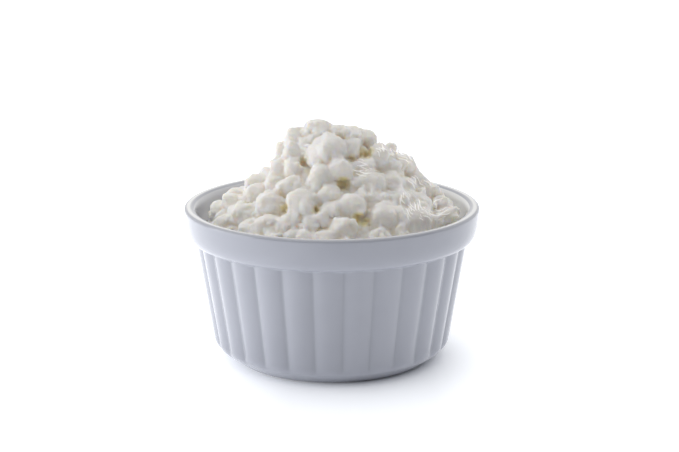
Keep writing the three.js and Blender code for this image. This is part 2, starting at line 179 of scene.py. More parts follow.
# The curds of the front: how far across and up from AIM each is seen, how wide and tall it is,
# the tilt of its wide side in degrees, how far it stands out of the heap, and True for a block or
# False for a round one.  Without that, it is either by chance.
FRONT_CURDS = [
    # the crown
    (-4.2, 28.9, 7.8, 7.0, -8, 0.2, False),
    (-10.8, 28.2, 5.2, 3.8, 5, 0),
    (-11.7, 26.3, 5.0, 4.2, 0, 0),
    (-0.4, 28.6, 5.0, 4.4, 0, 0),
    (3.3, 28.0, 5.2, 4.4, -15, 0),
    (6.9, 26.8, 4.2, 3.8, -30, 0),
    (11.5, 26.4, 4.8, 5.8, 10, 0),
    (-1.6, 23.2, 9.6, 7.8, 20, 1.9, False),
    (6.5, 23.9, 4.8, 5.0, 0, 0),
    (-7.4, 25.4, 5.0, 5.2, 0, -1.8),
    (-12.2, 22.9, 4.8, 6.4, -8, 0.4),
    (-14.9, 22.6, 4.6, 6.0, 0, 0),
    # the left flank
    (-10.5, 17.8, 6.6, 6.0, -10, 0),
    (-15.6, 17.4, 5.8, 7.0, 0, 0),
    (-19.6, 15.7, 4.6, 4.2, 0, 0),
    (-23.5, 12.8, 6.4, 5.0, 35, 0),
    (-22.8, 10.4, 7.0, 5.0, 15, 0),
    (-18.2, 13.0, 4.8, 4.4, 0, 0),
    (-12.5, 11.5, 7.4, 5.8, 35, 0.5, False),
    (-18.8, 6.0, 8.6, 7.8, -60, 0.9, True),
    (-9.0, 5.4, 9.3, 8.2, 120, 1.6, False),
    (-30.0, 6.8, 7.0, 5.4, -20, 0),
    (-26.2, 3.5, 8.2, 6.2, -20, 0),
    (-30.4, 8.8, 5.6, 4.0, 12, 0),
    (-35.0, 4.6, 5.4, 4.2, 80, 0),
    (-19.6, -0.4, 7.8, 6.0, 8, 0),
    (-12.9, -0.2, 6.8, 6.4, 0, 0),
    (-26.0, -1.0, 6.0, 5.0, -10, 0),
    # the right flank
    (-3.2, 14.3, 6.8, 7.4, 0, 1.1, False),
    (2.7, 17.3, 7.4, 6.0, -8, 2.3, True),
    (10.0, 18.0, 6.4, 4.6, -8, 0),
    (14.0, 20.4, 6.2, 8.4, -20, 0.5, False),
    (17.4, 21.9, 4.8, 7.6, -15, 0.1, False),
    (11.5, 13.2, 9.6, 6.0, -4, 0.6, False),
    (18.4, 12.7, 6.4, 6.0, 0, 0),
    (18.4, 17.6, 5.0, 4.8, 0, 0),
    (22.7, 17.4, 6.2, 5.6, -20, 0),
    (27.0, 13.2, 6.6, 4.8, -40, 0),
    (30.2, 10.2, 8.0, 4.8, -12, 0),
    (-0.4, 9.0, 6.6, 6.0, 0, 0),
    (9.6, 8.9, 4.6, 4.4, 0, 0),
    (14.0, 8.0, 5.8, 5.4, 0, 0),
    (6.2, 6.1, 9.0, 7.0, -15, 1.0),
    (0.9, 4.3, 5.2, 5.6, 60, 0),
    (-3.6, 2.1, 6.2, 5.2, 40, 0),
    (3.4, -1.0, 7.6, 6.0, 0, 1.0, True),
    (16.0, 1.8, 9.6, 8.0, 60, 1.1, True),
    (20.2, 1.2, 5.2, 7.0, -20, 0),
    (20.6, 7.2, 7.0, 6.0, 0, -0.6),
    (25.8, 6.4, 8.4, 7.0, -30, -1.2),
    (26.4, 1.8, 8.0, 5.6, -5, -1.0),
    (33.4, 6.0, 5.2, 4.4, 0, 0),
    (35.0, 1.9, 7.0, 4.6, 20, -0.6),
    (34.6, 3.0, 7.4, 4.0, 18, -1.2),
]
# The deep gaps: how far across and up each is seen, how wide it is, how deep, and how much the
# whey in it shows yellow.
DEEP_GAPS = [
    (3.7, 13.0, 3.0, 2.4, 1.0),
    (8.3, 2.3, 2.6, 1.6, 1.0),
    (10.2, 1.8, 2.6, 1.6, 1.0),
    (10.8, 22.6, 4.0, 2.2, 0.5),
    (6.2, 20.8, 1.4, 0.8, 0.5),
    (-8.6, 20.0, 3.0, 2.3, 0.25),
    (-7.6, 17.2, 2.0, 1.2, 0.4),
    (-3.4, 18.8, 1.5, 0.4, 0.5),
    (-4.8, 4.9, 2.4, 2.0, 0.25),
    (-14.0, 5.6, 2.6, 1.6, 0.7),
    (-35.0, 7.4, 3.4, 3.8, 0.0),
    (-38.4, 3.8, 3.0, 3.6, 0.0),
]
# Ridges of wet cream, each a line of places seen across and up from AIM.
RIDGES = [
    [(31.5, 5.7), (31.8, 7.7), (33.2, 8.4), (35.2, 8.1)],
    [(30.4, 3.0), (32.9, 3.1), (36.0, 4.4), (38.0, 5.1), (39.2, 4.7)],
    [(24.7, 14.7), (26.4, 11.3), (28.4, 10.2)],
    [(19.8, 22.0), (22.1, 21.3), (24.3, 20.0), (25.3, 18.5)],
]
RIDGE_RADIUS = 0.6
RIDGE_STEP = 0.3
RIDGE_END = 1.5
RIDGE_THINNED = 0.6
RIDGE_ROOM = 2.0
RIDGE_MELT = 0.5
# Threads of cream, told in the same way, and how many lie side by side on each line.
THREADS = [
    ([(6.2, 19.0), (8.6, 18.4), (11.1, 18.7), (13.5, 17.8)], 5),
    ([(7.1, 17.2), (9.9, 16.4), (12.9, 16.8), (15.5, 16.0)], 4),
    ([(13.6, 24.6), (15.5, 23.2), (16.6, 21.0)], 4),
    ([(17.6, 24.2), (19.3, 22.6), (20.6, 20.6)], 4),
    ([(19.6, 22.2), (22.1, 21.3), (24.3, 20.0), (25.6, 18.4)], 3),
    ([(24.0, 15.6), (25.6, 12.6), (28.4, 10.6)], 4),
    ([(26.8, 14.6), (28.6, 12.4), (31.5, 10.6)], 3),
    ([(21.6, 10.4), (22.6, 8.2), (23.6, 5.6)], 5),
    ([(24.3, 8.7), (25.5, 6.2), (26.8, 3.8)], 5),
    ([(22.6, 5.9), (24.3, 3.7), (25.8, 1.5)], 4),
    ([(26.4, 5.4), (28.6, 3.6), (30.2, 1.0)], 5),
    ([(28.2, 4.8), (30.6, 3.2), (33.0, 1.6)], 4),
    ([(31.5, 5.7), (31.8, 7.7), (33.2, 8.4), (35.2, 8.1)], 2),
    ([(30.4, 3.0), (32.9, 3.3), (36.0, 4.6), (38.4, 5.3)], 4),
]
THREAD_RADIUS = (0.12, 0.28)
THREAD_APART = 0.8
THREAD_SIDES = 6
THREAD_STEPS = 14
# Where on its line a thread starts at the latest, how much of it it covers, and its bend.
THREAD_START = 0.25
THREAD_LENGTH = (0.45, 0.75)
THREAD_BEND = 0.35
# The lobes that a curd breaks up into: how far they swell, how wide they are and a seed.
LOBES = [(0.8, 2.8, 11), (0.5, 1.2, 12)]
LOBES_IN_CREAM = 0.25
# The upright folds in the wet cream: how deep, how wide, how long and a seed.
FOLDS = (0.8, 1.8, 8.0, 13)
NOISE_SIZE = 0.35  # about the mean size of the noise that makes the lobes and folds
WET_PLACE = (27.0, 5.5)
WET_REACH = (7.0, 13.0)

# The field: a box of points, fine enough for the curds' edges.
FIELD_STEP = 0.42
FIELD_REACH = 41.0
FIELD_LOW = 37.5
FIELD_TOP = 77.0
WARP = 0.6  # how far the places where the field is looked up wander
WARP_WIDTH = 3.6
DRAW_STEPS = 2
LEAST_SLOPE = 0.1

# A curd: its facets, how far out they lie, and how sharp its edges are.
FACETS = 12
FACET_REACH = (0.87, 1.07)
BLOCK_SHARE = 0.4
BLOCK_ROCK = math.radians(25)
BLOCK_FACES = (0.84, 0.94)
BLOCK_CORNERS = (1.0, 1.2)
SHARPNESS = (6.0, 11.0)
SMOOTH_POWER = 8.0
SMOOTH_PROUD = 0.95  # a curd that stands out this far has no knobs
CALM_REACH = (0.3, 1.3)  # and how far around it the lobes are weaker
CALMED = 0.15  # how much weaker the lobes are there
CURD_GROWN = 1.14  # the facets cut a curd back, so it is made this much larger
CURD_ROOM = 1.2
DRY_MELT = (0.35, 1.2)
WET_MELT = 2.8
WALL_MELT = 0.4

# The knobs on a curd: their sizes and places are shares of its half sizes.
KNOBS = 3
KNOB_TURN = 0.7
KNOB_SIZE = (0.36, 0.56)
KNOB_RISE = (0.15, 0.9)
KNOB_REACH = 1.08
KNOB_SINK = 0.08
KNOB_MELT = 0.3
KNOB_SEEDS = 200

# The crumbs between the curds.
CRUMB_PLACES = 1100
CRUMB_REACH = 38.0
CRUMB_START = 1.0
CRUMB_SUNK = (1.6, 3.2)
CRUMB_ROOM = (0.5, 2.2)
CRUMB_GAP_CLEAR = 4.2
CRUMB_SIZE = (3.0, 5.6)
CRUMB_TALLNESS = (0.7, 1.0)
CRUMB_DEPTH = 0.42
CRUMB_MELT = 0.8
CRUMB_SEEDS = 500

# The gaps, the cream in the creases, and how much cheese lies round a point in a hollow.
GAP_SUNK = 1.2
GAP_ROOM = 2.5
GAP_MELT = 0.8
WHEY_EDGE = (1.1, -0.1)
CREAM_REACH = 4  # in grid steps, as is HOLLOW_REACH
CREAM_CLIP = 3
CREAM_LIFT = (0.1, -0.05)
CREAM_MELT = 0.5
HOLLOW_REACH = 3
HOLLOW_FILLED = (0.5, 0.82)

# ---- stage, light and camera ----
TABLE_SIZE = 8000.0
TABLE = (0.86, 0.875, 0.905)
TABLE_LIGHT = (0.96, 0.98, 1.02)
# The table's glow is painted light, and its fall near the dish a painted shadow.
TABLE_PAINTED_GLOW = 0.46
SHADE_POWER = 4.5
# The painted shadow by the dish weakens to the left, and the painted glow changes, along an axis in
# metres.
SHADE_CHANGE = ("X", (-0.03, 0.01), (0.35, 1.0))
PAINTED_GLOW_CHANGES = [
    ("X", (0.03, 0.046), (1.0, 1.3)),
    ("X", (-0.012, -0.06), (1.0, 2.0)),
    ("Y", (-0.12, -0.32), (1.0, 0.2)),
]
# The studio: its dim front, and each brighter side with where it starts and is full.
STUDIO_DIM = (0.02, 0.025, 0.035)
STUDIO_SIDES = [
    ("X", (-0.1, -0.95), (0.5, 0.51, 0.53)),
    ("X", (0.3, 1.0), (0.5, 0.51, 0.53)),
    ("Y", (-0.15, 0.55), (1.75, 1.75, 1.75)),
    ("Z", (0.35, 0.9), (1.5, 1.5, 1.5)),
]
STUDIO_STRENGTH = 0.53
LAMP_AIM = (0, 0, 0.04)
SENSOR_WIDTH = 36.0
FOCAL_LENGTH = 95.2
CAMERA_ASIDE = 2.35


# ---- small helpers ----


def chance(item, trait):
    """Numbers from 0 to 1 that look random but are fixed by ITEM and by TRAIT, a number that
    tells one use from another."""
    wave = 43758.5453 * np.sin(12.9898 * np.asarray(item, float) + 78.233 * trait)
    return wave - np.floor(wave)


def between(span, share):
    """The value at SHARE of the way from the first to the second of SPAN."""
    return span[0] + (span[1] - span[0]) * share


def chosen(span, item, trait):
    """A value between the two of SPAN, fixed by ITEM and TRAIT."""
    return between(span, chance(item, trait))


def ease(value, start, end):
    """0 before START, 1 after END and a smooth S between."""
    t = np.clip((value - start) / (end - start), 0, 1)
    return t * t * (3 - 2 * t)


def bezier(handles, t):
    """The curve through the first and last of HANDLES, pulled by those between, at every T."""
    points = [np.outer(np.ones_like(t), handle) for handle in np.array(handles, float)]
    while len(points) > 1:
        points = [a + (b - a) * t[:, None] for a, b in zip(points, points[1:])]
    return points[0]


def rounded(corners):
    """Straight lines between corners (radius, height, round, steps), with the corners rounded."""
    points = []
    for index, (radius, height, *bend) in enumerate(corners):
        corner = np.array([radius, height], float)
        if not bend:
            points.append(corner[None])
            continue
        back = np.array(corners[index - 1][:2]) - corner
        ahead = np.array(corners[index + 1][:2]) - corner
        back /= np.linalg.norm(back)
        ahead /= np.linalg.norm(ahead)
        half = math.acos(np.clip(back @ ahead, -1, 1)) / 2
        reach = bend[0] / math.tan(half)
        handles = [corner + reach * back, corner, corner + reach * ahead]
        points.append(bezier(handles, np.linspace(0, 1, bend[1] + 1)))
    return np.concatenate(points)


def piece(name, points, faces, material):
    """A mesh object of POINTS in millimetres; FACES is a list of arrays, one corner list a row."""
    mesh = bpy.data.meshes.new(name)
    counts = np.concatenate([np.full(len(part), part.shape[1]) for part in faces])
    corners = np.concatenate([part.ravel() for part in faces])
    mesh.vertices.add(len(points))
    mesh.vertices.foreach_set("co", (points * MM).astype(np.float32).ravel())
    mesh.loops.add(len(corners))
    mesh.loops.foreach_set("vertex_index", corners.astype(np.int32))
    mesh.polygons.add(len(counts))
    starts = np.concatenate([[0], np.cumsum(counts)[:-1]])
    mesh.polygons.foreach_set("loop_start", starts.astype(np.int32))
    mesh.polygons.foreach_set("use_smooth", np.ones(len(counts), bool))
    mesh.update(calc_edges=True)
    mesh.materials.append(material)
    made = bpy.data.objects.new(name, mesh)
    bpy.context.scene.collection.objects.link(made)
    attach(made, "root")
    return made


def attribute(made, name, values):
    """A number for each vertex, which the material reads by NAME."""
    layer = made.data.attributes.new(name, "FLOAT", "POINT")
    layer.data.foreach_set("value", np.asarray(values, np.float32))


# ---- materials ----


def new_material(name):
    """A material, its node tree and its shader."""
    material = bpy.data.materials.new(name)
    material.use_nodes = True
    tree = material.node_tree
    return material, tree, tree.nodes["Principled BSDF"]


def add_noise(tree, wavelength, detail=3.0, roughness=0.5):
    """Noise on Object coordinates whose blobs are WAVELENGTH millimetres across."""
    place = tree.nodes.new("ShaderNodeTexCoord")
    noise = tree.nodes.new("ShaderNodeTexNoise")
    noise.inputs["Scale"].default_value = 1 / (wavelength * MM)
    noise.inputs["Detail"].default_value = detail
    noise.inputs["Roughness"].default_value = roughness
    tree.links.new(place.outputs["Object"], noise.inputs["Vector"])
    return noise.outputs["Fac"]


def add_folds(tree, wet):
    """Upright wrinkles in the wet cream: noise that is narrow across and long from top to bottom."""
    place = tree.nodes.new("ShaderNodeTexCoord")
    stretch = tree.nodes.new("ShaderNodeMapping")
    stretch.inputs["Scale"].default_value = [1 / (size * MM) for size in WRINKLE_SIZE]
    noise = tree.nodes.new("ShaderNodeTexNoise")
    noise.inputs["Scale"].default_value = 1.0
    noise.inputs["Detail"].default_value = 2.0
    noise.inputs["Distortion"].default_value = 0.6
    tree.links.new(place.outputs["Object"], stretch.inputs["Vector"])
    tree.links.new(stretch.outputs["Vector"], noise.inputs["Vector"])
    return add_product(tree, noise.outputs["Fac"], wet)


def add_product(tree, first, second):
    """One node's output times another's."""
    node = tree.nodes.new("ShaderNodeMath")
    node.operation = "MULTIPLY"
    tree.links.new(first, node.inputs[0])
    tree.links.new(second, node.inputs[1])
    return node.outputs["Value"]


def add_attribute(tree, name):
    """What attribute() wrote on the mesh under NAME."""
    node = tree.nodes.new("ShaderNodeAttribute")
    node.attribute_name = name
    return node.outputs["Fac"]


def add_range(tree, value, old, new):
    """VALUE carried from the range OLD to the range NEW, and held there."""
    node = tree.nodes.new("ShaderNodeMapRange")
    node.inputs["From Min"].default_value, node.inputs["From Max"].default_value = old
    node.inputs["To Min"].default_value, node.inputs["To Max"].default_value = new
    tree.links.new(value, node.inputs["Value"])
    return node.outputs["Result"]


def add_mix(tree, share, first, second):
    """From colour FIRST to SECOND by SHARE; a colour is three numbers or another node's output."""
    node = tree.nodes.new("ShaderNodeMix")
    node.data_type = "RGBA"
    tree.links.new(share, node.inputs["Factor"])
    for socket, colour in ((node.inputs[6], first), (node.inputs[7], second)):
        if isinstance(colour, tuple):
            socket.default_value = (*colour, 1)
        else:
            tree.links.new(colour, socket)
    return node.outputs[2]


def add_bumps(tree, shader, bumps):
    """One bump on another, each (height, strength, depth in millimetres)."""
    normal = None
    for height, strength, depth in bumps:
        node = tree.nodes.new("ShaderNodeBump")
        node.inputs["Strength"].default_value = strength
        node.inputs["Distance"].default_value = depth * MM
        tree.links.new(height, node.inputs["Height"])
        if normal is not None:
            tree.links.new(normal, node.inputs["Normal"])
        normal = node.outputs["Normal"]
    tree.links.new(normal, shader.inputs["Normal"])


def porcelain():
    """Cool glazed porcelain: the glaze is a little greyer toward the bottom of each groove, is painted
    lighter within the dish and on its lip as painted light, against an outside set darker as painted
    shade, has waves too low to see but for their glint, and leaves the foot ring bare."""
    material, tree, shader = new_material("glazed_porcelain")
    waves = add_noise(tree, 9, detail=1.0)
    grit = add_noise(tree, 0.5)
    clouds = add_range(tree, waves, (0.3, 0.7), (0, 1))
    # the glaze is greyer toward the bottom of each groove
    groove_grey = add_range(tree, add_attribute(tree, "groove_grey"), (0.2, 1), (0, 0.6))
    bare = add_attribute(tree, "bare")
    colour = add_mix(tree, clouds, GLAZE_IN_PAINTED_SHADE, GLAZE_CLOUD)
    colour = add_mix(tree, groove_grey, colour, GLAZE_IN_GROOVES)
    # the glaze is painted toward its lit colour by the painted-light share: painted light and shade on one
    # glaze
    colour = add_mix(tree, add_attribute(tree, "white"), colour, GLAZE_PAINTED_LIT)
    colour = add_mix(tree, bare, colour, BARE_CLAY)
    tree.links.new(colour, shader.inputs["Base Color"])
    tree.links.new(add_range(tree, bare, (0, 1), (0.13, 0.7)), shader.inputs["Roughness"])
    shader.inputs["IOR"].default_value = 1.52
    shader.inputs["Coat Weight"].default_value = 0.4
    shader.inputs["Coat Roughness"].default_value = 0.04
    add_bumps(tree, shader, [(waves, 0.25, 0.12), (grit, 0.04, 0.03)])
    return material


def curd_and_cream():
    """Moist curd under thin cream: light soaks in, the hollows are painted warmer for the cream and whey
    there and darker as painted shade, whey shows yellow in the deep gaps, and the surface is finely pitted
    where the cream is thin and smooth where it is thick."""
    material, tree, shader = new_material("curd_and_cream")
    wet = add_attribute(tree, "wet")
    clouds = add_range(tree, add_noise(tree, 5, detail=2.0), (0.35, 0.65), (0, 1))
    hollow = add_range(tree, add_attribute(tree, "hollow"), (0.1, 1), (0, 0.8))
    colour = add_mix(tree, clouds, CURD, CURD_CLOUD)
    # painted shade and warmth in the hollows
    colour = add_mix(tree, hollow, colour, CURD_CREASE_TINT_AND_SHADE)
    colour = add_mix(tree, add_attribute(tree, "deep"), colour, WHEY)
    tree.links.new(colour, shader.inputs["Base Color"])
    tree.links.new(add_range(tree, wet, (0, 1), (0.5, 0.3)), shader.inputs["Roughness"])
    shader.inputs["Subsurface Weight"].default_value = 1.0
    shader.inputs["Subsurface Radius"].default_value = (1.0, 0.85, 0.6)
    shader.inputs["Subsurface Scale"].default_value = 3.2 * MM
    shader.inputs["IOR"].default_value = 1.4
    tree.links.new(add_range(tree, wet, (0, 1), (0.06, 0.6)), shader.inputs["Coat Weight"])
    shader.inputs["Coat Roughness"].default_value = 0.12
    dimples = add_noise(tree, 2.6, detail=2.0)
    dry = add_range(tree, wet, (0, 1), (1, 0.1))
    pits = add_product(tree, add_noise(tree, 1.0, detail=3.0, roughness=0.6), dry)
    folds = add_folds(tree, wet)
    add_bumps(tree, shader, [(dimples, 0.6, 0.5), (pits, 0.7, 0.3), (folds, 0.3, 0.35)])
    return material


def bare_cream():
    """Cream by itself, in strings too thin for light to soak into: white and wet, with a faint glow as
    painted glints. white, wet and glinting.
    """
    material, tree, shader = new_material("bare_cream")
    clouds = add_noise(tree, 2.5, detail=2.0)
    tree.links.new(add_mix(tree, clouds, CREAM, CREAM_CLOUD), shader.inputs["Base Color"])
    shader.inputs["Roughness"].default_value = 0.22
    shader.inputs["IOR"].default_value = 1.45
    shader.inputs["Coat Weight"].default_value = 0.8
    shader.inputs["Coat Roughness"].default_value = 0.08
    # a faint glow, which paints glints on the threads as painted light
    shader.inputs["Emission Color"].default_value = (*CREAM_PAINTED_GLINT, 1)
    shader.inputs["Emission Strength"].default_value = 0.26
    add_bumps(tree, shader, [(add_noise(tree, 0.8), 0.3, 0.1)])
    return material


# ---- the ramekin ----


def inner_radius(height):
    """The dish's inside at HEIGHT."""
    return INNER_BASE_RADIUS + INNER_SLOPE * height


def body_radius(height):
    """The body's outside at HEIGHT, along the crests of the flutes."""
    return BODY_BASE_RADIUS + BODY_SLOPE * (height - BODY_BASE_HEIGHT)


def dish_profile():
    """The dish's outline from the axis out under the foot, up, over the lip and down inside."""
    foot_inner = FOOT_RADIUS - FOOT_RING_WIDTH
    body_top = body_radius(COLLAR_BOTTOM)
    straight = [(body_radius(z), z) for z in np.linspace(*STRAIGHT_SIDE, 14)]
    fade = [(body_radius(z), z) for z in np.linspace(FLUTE_FADE_OUT[0], COLLAR_BOTTOM, 9)]
    side = bezier(COLLAR_SIDE, np.linspace(0.1, 1, 20))
    outside = rounded([
        (0, FOOT_RECESS),
        (foot_inner - FOOT_RECESS, FOOT_RECESS, EDGE_ROUND, 4),
        (foot_inner, 0, EDGE_ROUND, 4),
        (FOOT_RADIUS, 0, FOOT_ROUND, 8),
        (BODY_BASE_RADIUS, BODY_BASE_HEIGHT, BODY_BASE_ROUND, 18),
        *straight,
        *fade,
        (body_top + COLLAR_ROOT_GAP, COLLAR_BOTTOM + COLLAR_UNDERCUT, EDGE_ROUND / 3, 4),
        (COLLAR_FOOT_RADIUS, COLLAR_BOTTOM, EDGE_ROUND / 2, 6),
        tuple(side[0]),
    ])
    shoulder = bezier(COLLAR_SHOULDER, np.linspace(0, 1, 18))
    inner_top = (inner_radius(INNER_TOP), INNER_TOP)
    lip = bezier([COLLAR_SHOULDER[-1], LIP_HANDLE, inner_top], np.linspace(0, 1, 14))
    wall = [(inner_radius(z), z) for z in np.linspace(INNER_TOP, WALL_FOOT, 12)]
    floor_edge = (inner_radius(FLOOR_HEIGHT), FLOOR_HEIGHT, FLOOR_ROUND, 8)
    inside = rounded([*wall, floor_edge, (0, FLOOR_HEIGHT)])
    return np.concatenate([outside, side[1:], shoulder[1:], lip[1:], inside[1:]])


def on_inside(radius, height):
    """Whether a point of the outline lies on the dish's inner wall or on its floor."""
    return (radius < inner_radius(height) + WALL_CLEAR) & (height > FLOOR_HEIGHT - 0.1)


def painted_light_share(radius, height, angles):
    """How far the glaze is painted toward its lit colour, as painted light: on the inner wall m + s sin a,
    lighter to the right, on the shoulder a little, and on the lip's crest all the way as a painted
    highlight, but less on its outer edge at the front, as painted shade."""
    wall = WALL_PAINTED_LIGHT + WALL_PAINTED_LIGHT_SWING * np.sin(angles)
    shoulder = SHOULDER_PAINTED_LIGHT * ease(height, *SHOULDER_PAINTED_LIGHT_RISE)
    painted_front_shade = ease(np.cos(angles), *CREST_FRONT) * ease(radius, *CREST_EDGE)
    crest = ease(height, DISH_HEIGHT - CREST_DEPTH, DISH_HEIGHT) * (1 - CREST_FRONT_PAINTED_SHADE * painted_front_shade)
    return np.maximum(np.where(on_inside(radius, height), wall, shoulder), crest)


def ramekin():
    """The outline turned about Z: x = r sin a, y = -r cos a.  Outside, r is drawn in by the
    square of the way from a flute's crest to the groove beside it."""
    profile = dish_profile()
    columns = FLUTES * SIDES_PER_FLUTE
    angles = TURN * np.arange(columns) / columns + FLUTE_START
    radius, height = profile[1:-1, 0, None], profile[1:-1, 1, None]
    along = FLUTES * (angles - FLUTE_START) / TURN
    groove = (2 * (along - np.floor(along)) - 1) ** 2
    share = ease(height, *FLUTE_FADE_IN) * (1 - ease(height, *FLUTE_FADE_OUT))
    share = share * ((radius > inner_radius(height) + WALL_CLEAR) & (height < COLLAR_BOTTOM))
    drawn = radius - FLUTE_DEPTH * share * groove
    level = np.broadcast_to(height, drawn.shape)
    rings = np.stack([drawn * np.sin(angles), -drawn * np.cos(angles), level], -1)
    poles = [(0, 0, profile[0, 1]), (0, 0, profile[-1, 1])]
    points = np.concatenate([rings.reshape(-1, 3), poles])
    index = np.arange(drawn.size).reshape(drawn.shape)
    after = np.roll(index, -1, axis=1)
    quads = np.stack([index[:-1], after[:-1], after[1:], index[1:]], -1).reshape(-1, 4)
    low, high = drawn.size, drawn.size + 1
    under = np.stack([np.full(columns, low), after[0], index[0]], -1)
    floor = np.stack([np.full(columns, high), index[-1], after[-1]], -1)
    made = piece("ramekin_glazed", points, [quads, under, floor], porcelain())
    bare = (height < BARE_FOOT_HEIGHT) & (radius < FOOT_RADIUS)
    bare = bare & (radius > FOOT_RADIUS - FOOT_RING_WIDTH - BARE_FOOT_SPREAD)
    attribute(made, "groove_grey", np.append(share * groove ** 3, [0, 0]))
    # the share of painted light on the glaze; where it is low, the glaze keeps its painted shade
    attribute(made, "white", np.append(painted_light_share(radius, height, angles), [0, FLOOR_PAINTED_LIGHT]))
    attribute(made, "bare", np.append(np.broadcast_to(bare, drawn.shape), [0, 0]))
    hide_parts("ramekin")


# ---- where the curds lie ----


def dome_height(x, y):
    """The height through the curds' crests over (x, y): the left and the right outline, turned
    about the axis and blended by how far round to the right the point lies."""
    last = LEFT_OUTLINE[-1][0]
    radius = np.maximum(np.hypot(x, y), TINY)
    inside = np.minimum(radius, last)
    right = (1 + x / radius) / 2
    left_height = np.interp(inside, *zip(*LEFT_OUTLINE))
    right_height = np.interp(inside, *zip(*RIGHT_OUTLINE))
    return left_height + (right_height - left_height) * right - (radius - inside)


def dome_facings(x, y):
    """The sideways, upward and outward directions of the dome over each (x, y)."""
    rise_x = dome_height(x + SLOPE_REACH, y) - dome_height(x - SLOPE_REACH, y)
    rise_y = dome_height(x, y + SLOPE_REACH) - dome_height(x, y - SLOPE_REACH)
    out = np.stack([-rise_x, -rise_y, np.full_like(rise_x, 2 * SLOPE_REACH)], -1)
    out /= np.linalg.norm(out, axis=-1, keepdims=True)
    side = np.cross([0, 0, 1], out)
    side /= np.maximum(np.linalg.norm(side, axis=-1, keepdims=True), TINY)
    return np.stack([side, np.cross(out, side), out], -2)


def line_of_sight(across, up):
    """Points on the line from the eye through the place ACROSS and UP from AIM."""
    target = AIM + up * VIEW_UP + np.array([across, 0, 0])
    return EYE + (target - EYE) / VIEW_DISTANCE * SIGHT[:, None]


def seen_on_dome(across, up):
    """The point of the dome that is seen ACROSS and UP from AIM, or the nearest to that line."""
    points = line_of_sight(across, up)
    depth = dome_height(points[:, 0], points[:, 1]) - points[:, 2]
    inside = np.flatnonzero(depth > 0)
    return points[inside[0] if len(inside) else depth.argmax()]


def curd(place, size, tilt, facing, number, proud=0.0, block=None):
    """A curd sunk into the dome at PLACE: its centre, half sizes, directions, number and kind."""
    wide, tall = size
    half = np.array([wide / 2, tall / 2, max(CURD_DEPTH * (wide + tall), LEAST_DEPTH)])
    centre = place + (proud - (CURD_SUNK + CURD_GROWN - 1) * half[2]) * facing[2]
    half = half * CURD_GROWN
    turn, lean = math.cos(math.radians(tilt)), math.sin(math.radians(tilt))
    side = turn * facing[0] + lean * facing[1]
    upward = turn * facing[1] - lean * facing[0]
    axes = np.stack([side, upward, facing[2]])
    block = chance(number, 26) < BLOCK_SHARE if block is None else block
    return {"centre": centre, "half": half, "axes": axes, "number": number, "block": block, "proud": proud}


def front_curds():
    """The curds that are told one by one, each facing the viewpoint."""
    facing = np.stack([[1, 0, 0], VIEW_UP, VIEW_BACK])
    return [
        curd(seen_on_dome(across, up), (wide, tall), tilt, facing, number, proud, *block)
        for number, (across, up, wide, tall, tilt, proud, *block) in enumerate(FRONT_CURDS)
    ]


def fill_places():
    """Radius and angle of each place: a ring along the wall, then a sunflower spiral."""
    ring, spiral = np.arange(WALL_PLACES), np.arange(FILL_PLACES)
    spread = FILL_REACH * np.sqrt((spiral + 0.5) / FILL_PLACES)
    radius = np.append(np.full(WALL_PLACES, FILL_REACH), spread)
    angle = np.append(TURN * ring / WALL_PLACES, TURN * spiral / GOLDEN)
    return radius, angle


def fill_curds(curds):
    """Fill curds wherever the CURDS so far and the deep gaps leave room for one."""
    gaps = [seen_on_dome(across, up) for across, up, *_ in DEEP_GAPS]
    radius, angle = fill_places()
    number = np.arange(len(radius))
    radius = radius + FILL_SHAKE * (chance(number, 1) - 0.5)
    angle = angle + FILL_TURN * (chance(number, 2) - 0.5)
    x, y = radius * np.sin(angle), -radius * np.cos(angle)
    wide = chosen(FILL_SIZE, number, 3)
    tall = wide * (1 - FILL_SLIMNESS * chance(number, 4))
    tilt = 180 * chance(number, 5)
    facings = dome_facings(x, y)
    places = np.stack([x, y, dome_height(x, y)], -1)
    for i in number:
        new = curd(places[i], (wide[i], tall[i]), tilt[i], facings[i], i)
        centre, half = new["centre"], new["half"][0]
        apart = all(
            np.linalg.norm(other["centre"] - centre) > FILL_CLEAR * (other["half"][0] + half)
            for other in curds
        )
        clear = all(np.linalg.norm(gap - centre) > half + GAP_CLEAR for gap in gaps)
        if apart and clear:
            curds.append(new)
    return curds


# ---- the field ----


def smooth_noise(shape, blobs, seed):
    """Numbers from -1 to 1 on a grid of SHAPE that swing over BLOBS grid steps along each axis:
    random values on a coarse grid, with smooth steps between them along each axis in turn."""
    coarse = [int(n / blob) + 3 for n, blob in zip(shape, blobs)]
    values = np.random.default_rng(seed).uniform(-1, 1, coarse).astype(np.float32)
    for axis, (n, blob) in enumerate(zip(shape, blobs)):
        at = np.arange(n) / blob
        low = at.astype(int)
        share = ease(at - low, 0, 1).astype(np.float32)
        values = np.moveaxis(values, axis, -1)
        values = values[..., low] * (1 - share) + values[..., low + 1] * share
        values = np.moveaxis(values, -1, axis)
    return values


def blurred(values, reach, times=2):
    """VALUES averaged over a cube that reaches REACH grid steps each way, TIMES over."""
    for _ in range(times):
        for axis in range(3):
            values = np.moveaxis(values, axis, -1)
            padded = np.pad(values, [(0, 0), (0, 0), (reach + 1, reach)], mode="edge")
            total = np.cumsum(padded, axis=-1, dtype=np.float64)
            width = 2 * reach + 1
            values = ((total[..., width:] - total[..., :-width]) / width).astype(np.float32)
            values = np.moveaxis(values, -1, axis)
    return values


def melted(first, second, melt):
    """The lower of two fields, with the crease between them filled over a width of MELT."""
    near = np.maximum(melt - np.abs(first - second), 0)
    return np.minimum(first, second) - near * near / (4 * melt)


